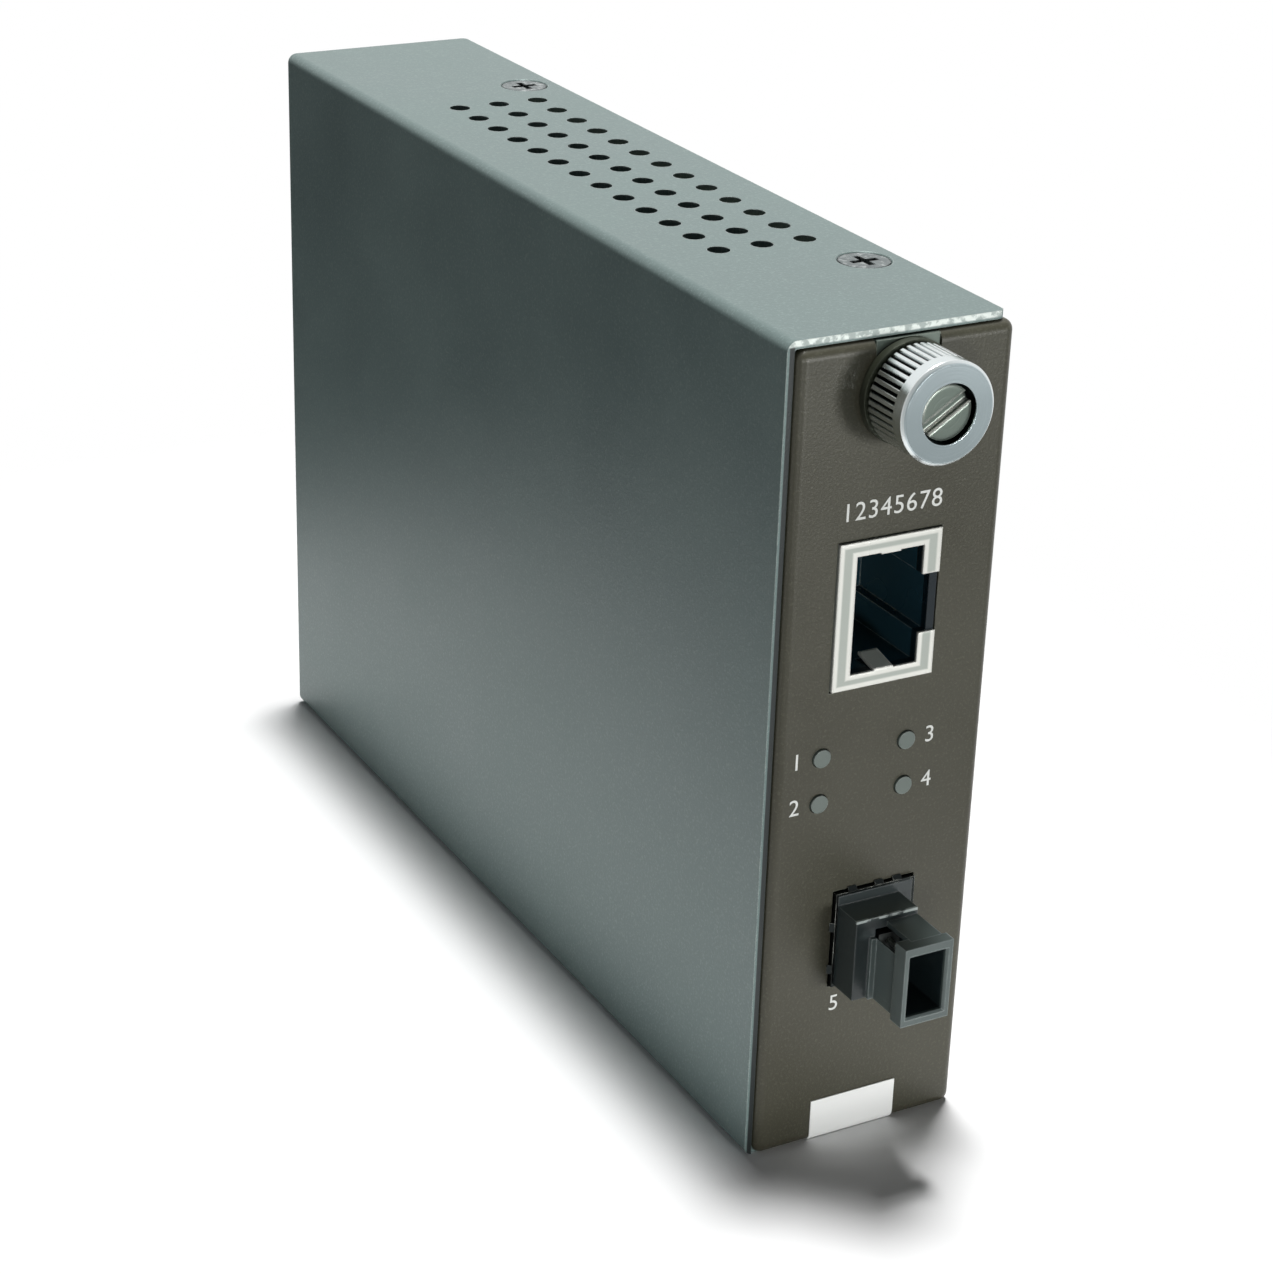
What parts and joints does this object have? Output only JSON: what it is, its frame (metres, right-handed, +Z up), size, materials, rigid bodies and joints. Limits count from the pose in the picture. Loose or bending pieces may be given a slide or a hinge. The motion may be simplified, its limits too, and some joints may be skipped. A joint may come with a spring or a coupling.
{
  "type": "fibre media converter",
  "caption": "Narrow upright sheet-metal network converter with a copper socket, a fibre port, a vented top, a captive thumbscrew and a rear power inlet.",
  "frame": {"origin": "middle of the bottom face of the case, on the resting surface", "axes": "+X across the thin case towards the circuit board side, +Y from the front panel to the rear panel, +Z up"},
  "size_m": [0.025, 0.1365, 0.088],
  "materials": {
    "case_paint": "dark blue-grey fine-grained paint",
    "panel_paint": "dark brown-grey paint",
    "black_steel": "blackened steel",
    "label_paper": "plain white",
    "zinc": "zinc plated",
    "nickel": "bright nickel",
    "steel": "turned",
    "board": "glass-fibre laminate",
    "black_plastic": "moulded",
    "gold": "gold plated",
    "lamp": "unlit",
    "tin": "tinned",
    "port_plastic": "moulded",
    "ferrule": "plain",
    "chip_plastic": "moulded",
    "can": "drawn can",
    "ferrite": "fired"
  },
  "bodies": {
    "housing": {"cover": "case_paint", "chassis": "panel_paint", "cover_screws": "black_steel", "front_label": "label_paper", "screw_retainer": "zinc", "screw_spring": "steel", "circuit_board": "board", "board_standoffs": "zinc", "board_screws": "steel", "jack_shield": "nickel", "jack_insert": "black_plastic", "jack_contacts": "gold", "light_holder": "black_plastic", "light_copper_low": "lamp", "light_copper_high": "lamp", "light_left_low": "lamp", "light_left_high": "lamp", "light_leads": "tin", "ground_collar": "nickel", "fibre_nose": "port_plastic", "fibre_ferrule": "ferrule", "guide_pins": "steel", "transceiver_module": "port_plastic", "transceiver_leads": "tin", "power_inlet": "black_plastic", "inlet_pin": "nickel", "magnetics": "chip_plastic", "magnetics_leads": "tin", "converter_chip": "chip_plastic", "converter_chip_leads": "tin", "memory_chip": "chip_plastic", "crystal": "can", "regulator": "chip_plastic", "inductor": "ferrite", "storage_capacitors": "can", "chip_parts": "ferrule"},
    "screw_clip": {"retaining_clip": "steel"},
    "jackscrew": {"thumb_knob": "nickel", "jack_screw": "steel"}
  },
  "joints": [
    {"name": "screw_slide", "type": "slide", "parent": "housing", "child": "screw_clip", "axis": [0, -1, 0], "range_m": [0, 0.0055], "stiffness_N_per_m": 150, "springref_m": -0.003, "deforming": ["screw_spring"]},
    {"name": "screw_turn", "type": "hinge", "parent": "screw_clip", "child": "jackscrew", "pos_m": [0.0004, -0.06, 0.0818], "axis": [0, -1, 0], "continuous": true}
  ]
}
